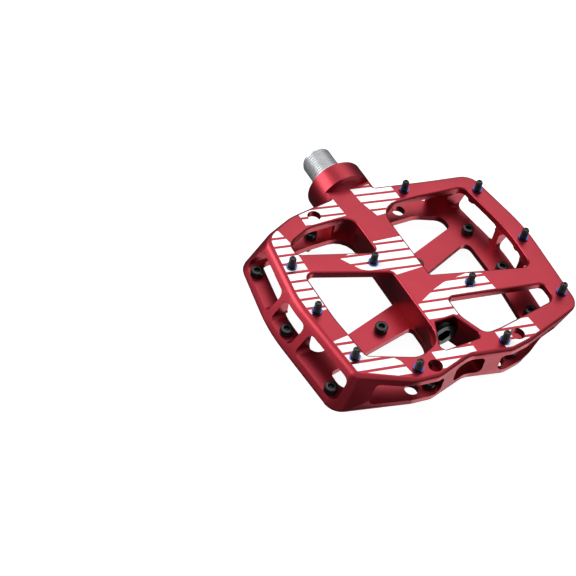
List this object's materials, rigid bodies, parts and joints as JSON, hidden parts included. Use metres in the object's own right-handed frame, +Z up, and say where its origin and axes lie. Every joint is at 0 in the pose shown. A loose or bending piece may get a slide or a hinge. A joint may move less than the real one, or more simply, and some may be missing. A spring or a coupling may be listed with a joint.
{
  "type": "flat bicycle pedal",
  "caption": "Flat bicycle pedal: hollow C-section metal platform with grip pins on both faces, turning on a cantilevered threaded spindle.",
  "frame": {"origin": "centre of the spindle shoulder that tightens against the crank arm", "axes": "+X along the spindle away from the crank, +Y to the rear of the bicycle with the pedal level, +Z up, out of the top face"},
  "size_m": [0.1334, 0.1246, 0.0272],
  "materials": {
    "red_anodised": "satin anodised, deep red with white painted bands",
    "steel_axle": "satin",
    "bearing_steel": "ground",
    "ball_steel": "polished",
    "spring_steel": "oiled",
    "brass": "pressed sheet",
    "bronze": "sintered",
    "black_rubber": "matt",
    "blue_nylon": "matt",
    "black_anodised": "satin anodised",
    "black_steel": "black oxide",
    "blue_anodised": "glossy anodised, deep blue"
  },
  "bodies": {
    "platform": {"platform": "red_anodised", "inboard_seal": "black_rubber", "bearing_circlip": "spring_steel", "inboard_bearing_outer_ring": "bearing_steel", "inboard_bearing_shields": "black_rubber", "spindle_bush": "bronze", "outboard_bearing_outer_ring": "bearing_steel", "end_cap": "black_anodised", "end_cap_oring": "black_rubber", "pins_top": "black_steel", "pins_bottom": "black_steel", "pin_washers_top": "blue_anodised", "pin_washers_bottom": "blue_anodised"},
    "spindle": {"spindle": "steel_axle", "inboard_bearing_inner_ring": "bearing_steel", "outboard_bearing_inner_ring": "bearing_steel", "spacer_washer": "bearing_steel", "lock_nut": "bearing_steel", "lock_nut_insert": "blue_nylon"},
    "inboard_cage": {"inboard_bearing_cage": "brass", "inboard_bearing_balls": "ball_steel"},
    "outboard_cage": {"outboard_bearing_cage": "brass", "outboard_bearing_balls": "ball_steel"}
  },
  "joints": [
    {"name": "spindle_turn", "type": "hinge", "parent": "platform", "child": "spindle", "pos_m": [0, 0, 0], "axis": [1, 0, 0], "continuous": true},
    {"name": "inboard_cage_turn", "type": "hinge", "parent": "platform", "child": "inboard_cage", "pos_m": [0.0087, 0, 0], "axis": [1, 0, 0], "continuous": true},
    {"name": "outboard_cage_turn", "type": "hinge", "parent": "platform", "child": "outboard_cage", "pos_m": [0.085, 0, 0], "axis": [1, 0, 0], "continuous": true}
  ],
  "couplings": [
    {"joint": "inboard_cage_turn", "follows": "spindle_turn", "ratio": 0.439},
    {"joint": "outboard_cage_turn", "follows": "spindle_turn", "ratio": 0.425}
  ]
}
